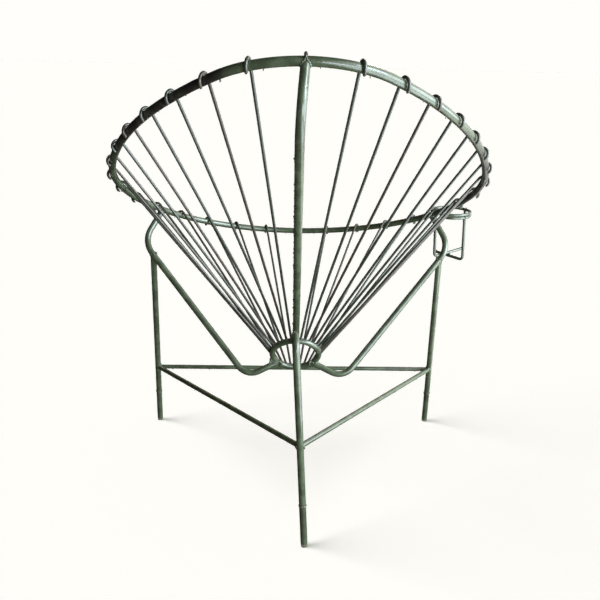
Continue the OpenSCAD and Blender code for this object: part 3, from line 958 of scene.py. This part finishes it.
class CHAIR_OT_welds(bpy.types.Operator):
    """Lay the seams of weld where rods meet"""

    bl_idname = "chair.welds"
    bl_label = "Welds"

    def execute(self, context):
        routes = chair(context)
        ring, hoop = routes.ring(), routes.hoop()
        on_ring = (ring + ring[:1], routes.seat.ring_rod / 2)
        on_hoop = (hoop + hoop[:1], routes.bow.rod / 2)
        self.weld_frame(routes, on_ring, on_hoop)
        self.weld_wires(routes, on_ring)
        self.weld_cup_holder(routes)
        return {"FINISHED"}

    def weld_frame(self, routes, on_ring, on_hoop):
        base, r = routes.base, routes.base.rod / 2
        spine = routes.spine()
        seams, lumps = [seam_at_start(spine, r, *on_ring), seam_at_end(spine, r, *on_hoop)], []
        for side, _ in SIDES:
            support = routes.support(side)
            lumps.append(seam_at_start(support, r, *on_ring))
            seams += [lumps[-1], seam_at_end(support, r, *on_hoop)]
            seams.append(seam_at_end(routes.front_leg(side), r, support, r, 0.012))
        seams.append(seam_at_end(routes.rear_leg(), r, *on_ring, 0.03))
        rear_leg = [routes.on_rear(z) for z in REAR_LEG_BY_BRACE]
        rear, front = routes.on_rear(base.brace_rear_z), routes.braces()["front"]
        for side, (here, there) in ((1, front), (-1, front[::-1])):
            leg = [routes.on_leg(side, z) for z in LEG_BY_BRACE]
            for start, stop, other in ((here, there, leg), (here, rear, leg), (rear, here, rear_leg)):
                lumps.append(seam(start, unit(stop - start), base.brace / 2, other, r))
                seams.append(lumps[-1])
        higher = routes.at_height(0.2)
        for word, foot in routes.at_height(base.foot_h).items():
            steps = round_rod(unit(higher[word] - foot), r - 4 * SUNK)
            seams.append(([foot + step for step in steps], True))
        for side, webs in WELD_WEBS.items():
            start, on = routes.support(side)[:2]
            for turn, out in webs:
                p = routes.ring_point(base.on_ring - radians(turn))
                p = (p if side > 0 else mirrored(p)) + routes.move
                lumps.append(([p, start + unit(on - start) * (out * MM)], False))
        blobs("frame_welds", seams, "Weld seam", "frame_enamel", 1.9, 1.75, 0.22, 0.25, 4)
        blobs("weld_lumps", lumps, "Weld seam", "frame_enamel", 3.2, 2.7, 0.35, 0.9, 6)

    def weld_wires(self, routes, on_ring):
        seams, tacks = [], []
        for k in range(routes.wire_count()):
            wire = routes.wire(k)
            seams.append(seam_at_start(wire, routes.seat.wire / 2, *on_ring, 0.01))
            tip, way = wire[-1], unit(wire[-1] - wire[-2])
            tacks.append(([tip - way * 0.6 * MM, tip + way * 0.4 * MM], False))
        blobs("wire_welds", seams, "Weld seam", "seat_wire_enamel", 1.5, 1.25, 0.3, 0.25, 9)
        blobs("hook_tacks", tacks, "Weld seam", "seat_wire_enamel", 1.0, 1.9, 0.25, 0.3, 11)

    def weld_cup_holder(self, routes):
        cup, touch = routes.cup, routes.cup_touch + routes.move
        lines = []
        for lift in (CUP_BEAD, -CUP_BEAD):
            line = [touch + routes.cup_side * (i * MM) + UP * lift for i in range(-7, 8)]
            lines.append((line, False))
        ring, strand = routes.cup_ring(), routes.cup_strand()
        ring = ring + ring[:1]
        for a in (cup.near_inner, cup.far_outer, cup.far_inner):
            top = routes.cup_point(a, 0) + routes.move
            lines.append(seam(top, -UP, cup.rod / 2, ring, cup.rod / 2))
        top = routes.cup_point(cup.near_outer, -routes.strand_drop) + routes.move
        lines.append(seam(top, -UP, cup.rod / 2, strand, cup.rod / 2))
        cross = routes.cup_centre + routes.move - Vector((cup.lean, 0, cup.depth - routes.strand_drop / 2))
        turns = [i * 0.6 for i in range(11)]
        lines.append(([cross + Vector((cos(a), sin(a), 0)) * CUP_BEAD for a in turns], False))
        blobs("cup_holder_welds", lines, "Weld seam", "cup_holder_enamel", 1.4, 1.3, 0.25, 0.2, 5)


class CHAIR_OT_drops(bpy.types.Operator):
    """Hang dried drops of enamel under the rods, and spatter near the welds"""

    bl_idname = "chair.drops"
    bl_label = "Paint drops and spatter"

    def execute(self, context):
        routes = chair(context)
        r, spine = routes.base.rod / 2, routes.spine()
        supports = [routes.support(side) for side, _ in SIDES]
        under = [(route_below(routes.hoop(), routes.bow.rod / 2), True)]
        under += [(route_below(line, routes.base.brace / 2), False) for line in routes.braces().values()]
        under += [(route_below(support[4:-6], r), False) for support in supports]
        hung = dict(share=0.4, kind="frame")
        blobs("paint_drops", under, "Paint drops", "frame_enamel", 17, 1.15, 0.4, 2.0, 3, **hung)
        near_welds = []
        for route in (spine[-6:], spine[:3], supports[0][:8], supports[1][:8]):
            for turn in range(SPATTER_LINES):
                side = Vector((cos(turn * SPATTER_TURN), sin(turn * SPATTER_TURN), 0)) * (r - SUNK)
                near_welds.append(([p + side for p in route], False))
        out = routes.ring_normal() * (routes.seat.ring_rod / 2 - SUNK)
        near_welds += [([p + side for p in routes.ring()], True) for side in (out, -out)]
        blobs("weld_spatter", near_welds, "Paint drops", "frame_enamel", 6, 0.8, 0.5, 0.6, 8, share=0.5)
        return {"FINISHED"}


# The stage, in metres

FLOOR_REACH = 60.0
FLOOR_ALBEDO = 0.86
FLOOR_GLOW = 0.365
# Width over which the painted shade between the feet fades out.
PAINTED_SHADE_EDGE = 0.13
CAMERA_PLACE = Vector((0.0163, 1.483, 0.8464))
CAMERA_TURNS = (19.66, -1.03, 1.30)
CARDS = {
    "card_left": ((0.6, -2.0, 0.006), (0.6, 2.3, 1.7)),
    "card_front": ((-0.5, 2.3, 0.006), (0.6, 2.3, 1.7)),
    "card_back": ((-1.2, -2.0, 0.006), (0.6, -2.0, 1.7)),
    "card_above": ((-0.5, -2.0, 1.7), (0.6, 2.3, 1.7)),
    "card_below": ((-0.5, -2.0, 0.006), (0.6, 2.3, 0.006)),
}


def for_the_eye(tree, plain, seen):
    """One shader for rays from the camera, mirrored or let through, and a plain one for the rest."""
    path = add(tree, "ShaderNodeLightPath").outputs
    eye = calc(tree, "MAXIMUM", path["Is Camera Ray"], path["Is Glossy Ray"])
    eye = calc(tree, "MAXIMUM", eye, path["Is Transmission Ray"])
    return add(tree, "ShaderNodeMixShader", {0: eye, 1: plain, 2: seen})


def stage_board(name, a, b, material):
    """A flat board of the stage between two opposite corners, which isn't part of the chair."""
    (ax, ay, az), (bx, by, bz) = a, b
    corners = [a, (bx, ay, az), b, (ax, by, az)] if az == bz else [a, (bx, by, az), b, (ax, ay, bz)]
    mesh = bpy.data.meshes.new(name)
    mesh.from_pydata(corners, [], [(0, 1, 2, 3)])
    mesh.materials.append(material)
    board = linked(name, mesh)
    return board


def hung_lamp(lamp, location, turn, floor, state):
    """Hangs a lamp. It lights the floor only (INCLUDE) or all but the floor (EXCLUDE)."""
    holder = linked(lamp.name, lamp)
    holder.location, holder.rotation_euler = location, turn
    lit = bpy.data.collections.new("lit_by_" + lamp.name)
    lit.objects.link(floor)
    holder.light_linking.receiver_collection = lit
    lit.collection_objects[0].light_linking.link_state = state
    return holder


class CHAIR_OT_stage(bpy.types.Operator):
    """Set the pale floor, the soft light and the camera"""

    bl_idname = "chair.stage"
    bl_label = "Floor, light and camera"

    def execute(self, context):
        scene, look, routes = context.scene, context.scene.chair_stage, chair(context)
        floor = self.floor(look, routes)
        self.black_cards()
        suns = {
            "window_light": (-68, 24, 32, look.key, look.key_colour, "EXCLUDE"),
            "front_light": (180, 20, 40, look.front, look.shade_colour, "EXCLUDE"),
            "floor_side_light": (88, 15, 55, look.floor_side, (1, 1, 1), "INCLUDE"),
            "floor_top_light": (0, 90, 110, look.floor_top, (1, 1, 1), "INCLUDE"),
        }
        holders = {name: self.sun(name, floor, *values) for name, values in suns.items()}
        self.only_legs_shade(holders["floor_side_light"])
        quarter = pi / 2
        panels = {
            "ground_light": ((-0.95, 0.95, 0.012), (pi, 0, 0), (1.0, 1.7), look.ground),
            "doorway_light": ((-1.4, 2.4, 0.55), (-quarter, 0, 0), (2.2, 0.9), look.doorway),
            "wall_light": ((-2.3, 0.9, 0.75), (0, -quarter, 0), (1.5, 3.0), look.wall),
        }
        for name, values in panels.items():
            self.panel(name, floor, look.key_colour, *values)
        self.world(scene, look)
        self.camera(scene, look, routes)
        scene.view_settings.view_transform = "Standard"
        return {"FINISHED"}

    def floor(self, look, routes):
        """A pale floor, with a shade painted between the feet. The eye sees its lit tone; the chair gets a
        plain bounce from it.
        """
        material, tree = plain_material("Pale floor")
        between = self.painted_shade_between_feet(tree, routes)

        # Lit and painted-shade tones of the floor, mixed by the painted shade's mask.
        def tone(share):
            shaded = share * look.floor_painted_shade
            lit, shaded = ([s * v for v in look.floor_tone] for s in (share, shaded))
            return blend(tree, between, rgba(lit), rgba(shaded))

        bounce = {"Color": rgba(look.shade_colour), "Strength": look.bounce}
        bounce = add(tree, "ShaderNodeEmission", bounce)
        lit = add(tree, "ShaderNodeBsdfDiffuse", {"Color": tone(FLOOR_ALBEDO)})
        glow = add(tree, "ShaderNodeEmission", {"Color": tone(1), "Strength": FLOOR_GLOW})
        seen = add(tree, "ShaderNodeAddShader", {0: lit, 1: glow})
        coat_with(tree, for_the_eye(tree, bounce, seen))
        corners = (-FLOOR_REACH, -FLOOR_REACH, 0), (FLOOR_REACH, FLOOR_REACH, 0)
        return stage_board("floor", *corners, material)

    def painted_shade_between_feet(self, tree, routes):
        """Mask of the painted shade: 1 on the floor between the three feet, fading to 0 towards the lines
        that join them.
        """
        feet = list(routes.at_height(0).values())
        at = add(tree, "ShaderNodeTexCoord").outputs["Object"]
        inside = 1.0
        for i, foot in enumerate(feet):
            out = unit((feet[(i + 1) % 3] - foot).cross(UP))
            if out.dot(feet[(i + 2) % 3] - foot) > 0:
                out = -out
            across = add(tree, "ShaderNodeVectorMath", {0: at, 1: out}, operation="DOT_PRODUCT")
            edge = out.dot(foot)
            fade = band(tree, across.outputs["Value"], edge - PAINTED_SHADE_EDGE, edge, 1.0, 0.0)
            inside = calc(tree, "MULTIPLY", inside, fade)
        return inside

    def black_cards(self):
        """Black cards round the shaded side, out of sight, which the rods mirror there."""
        material, tree = plain_material("Black card")
        coat_with(tree, add(tree, "ShaderNodeBsdfDiffuse", {"Color": (0.01, 0.01, 0.01, 1)}))
        for name, corners in CARDS.items():
            card = stage_board(name, *corners, material)
            card.visible_camera = card.visible_diffuse = card.visible_shadow = False

    def panel(self, name, floor, tone, location, turn, sides, watts):
        """A flat panel of light out of sight, which the rods mirror."""
        lamp = bpy.data.lights.new(name, "AREA")
        lamp.shape, (lamp.size, lamp.size_y) = "RECTANGLE", sides
        lamp.energy, lamp.color = watts, tone
        hung_lamp(lamp, location, turn, floor, "EXCLUDE").visible_camera = False

    def sun(self, name, floor, round_by, height, wide, strength, tone, state):
        """A wide far light: its direction round the chair from the camera's side, and its height."""
        lamp = bpy.data.lights.new(name, "SUN")
        lamp.angle, lamp.energy, lamp.color = radians(wide), strength, tone
        a, e = radians(round_by), radians(height)
        way = Vector((sin(a) * cos(e), cos(a) * cos(e), sin(e)))
        return hung_lamp(lamp, way * 3, (-way).to_track_quat("-Z", "Y").to_euler(), floor, state)

    def only_legs_shade(self, holder):
        """Lets a lamp's shadows come from the legs and feet alone."""
        legs = bpy.data.collections.new("shade_from_" + holder.name)
        for piece in bpy.data.objects:
            if piece.name.startswith(("foot_piece", "front_leg_bar", "rear_leg_bar")):
                legs.objects.link(piece)
        holder.light_linking.blocker_collection = legs

    def world(self, scene, look):
        world = scene.world = bpy.data.worlds.new("Pale room")
        world.use_nodes = True
        tree = world.node_tree
        tree.nodes.clear()
        room = {"Color": rgba(look.shade_colour), "Strength": look.fill}
        room = add(tree, "ShaderNodeBackground", room)
        seen = add(tree, "ShaderNodeBackground", {"Color": rgba(look.floor_tone), "Strength": 1})
        coat_with(tree, for_the_eye(tree, room, seen), "ShaderNodeOutputWorld")

    def camera(self, scene, look, routes):
        pitch, yaw, roll = (radians(turn) for turn in CAMERA_TURNS)
        ahead = Vector((sin(yaw) * cos(pitch), -cos(yaw) * cos(pitch), -sin(pitch)))
        right = unit(ahead.cross(UP))
        up = right.cross(ahead)
        right, up = right * cos(roll) + up * sin(roll), up * cos(roll) - right * sin(roll)
        data = bpy.data.cameras.new("photo_camera")
        data.sensor_width, data.lens, data.clip_end = 36, look.lens, FLOOR_REACH
        camera = scene.camera = linked("photo_camera", data)
        turned = Matrix((right, up, -ahead)).transposed().to_4x4()
        camera.matrix_world = Matrix.Translation(CAMERA_PLACE + routes.move) @ turned


# Panel and start

OPERATORS = (
    CHAIR_OT_hoop,
    CHAIR_OT_seat,
    CHAIR_OT_base,
    CHAIR_OT_cup_holder,
    CHAIR_OT_welds,
    CHAIR_OT_drops,
    CHAIR_OT_stage,
)


class CHAIR_PT_panel(bpy.types.Panel):
    """Sizes, finish and steps of the chair"""

    bl_idname = "CHAIR_PT_panel"
    bl_label = "Acapulco Chair"
    bl_space_type = "VIEW_3D"
    bl_region_type = "UI"
    bl_category = "Acapulco Chair"

    def draw(self, context):
        scene, sizes, layout = context.scene, context.scene.chair_sizes, self.layout
        for group in (sizes.hoop, sizes.seat, sizes.base, sizes.cup, scene.chair_finish, scene.chair_stage):
            box = layout.box()
            for name in group.__annotations__:
                box.prop(group, name)
        for operator in OPERATORS:
            layout.operator(operator.bl_idname)


PROPERTIES = {"chair_sizes": ChairSizes, "chair_finish": FinishLook, "chair_stage": StageLook}
CLASSES = (HoopSizes, SeatSizes, BaseSizes, CupSizes, *PROPERTIES.values(), *OPERATORS, CHAIR_PT_panel)


def register():
    for item in CLASSES:
        bpy.utils.register_class(item)
    for name, group in PROPERTIES.items():
        setattr(bpy.types.Scene, name, PointerProperty(type=group))


def unregister():
    for name in PROPERTIES:
        delattr(bpy.types.Scene, name)
    for item in reversed(CLASSES):
        bpy.utils.unregister_class(item)


def main():
    register()
    bpy.ops.chair.hoop()
    bpy.ops.chair.seat()
    bpy.ops.chair.base()
    bpy.ops.chair.cup_holder()
    bpy.ops.chair.welds()
    bpy.ops.chair.drops()
    bpy.ops.chair.stage()


if __name__ == "__main__":
    main()
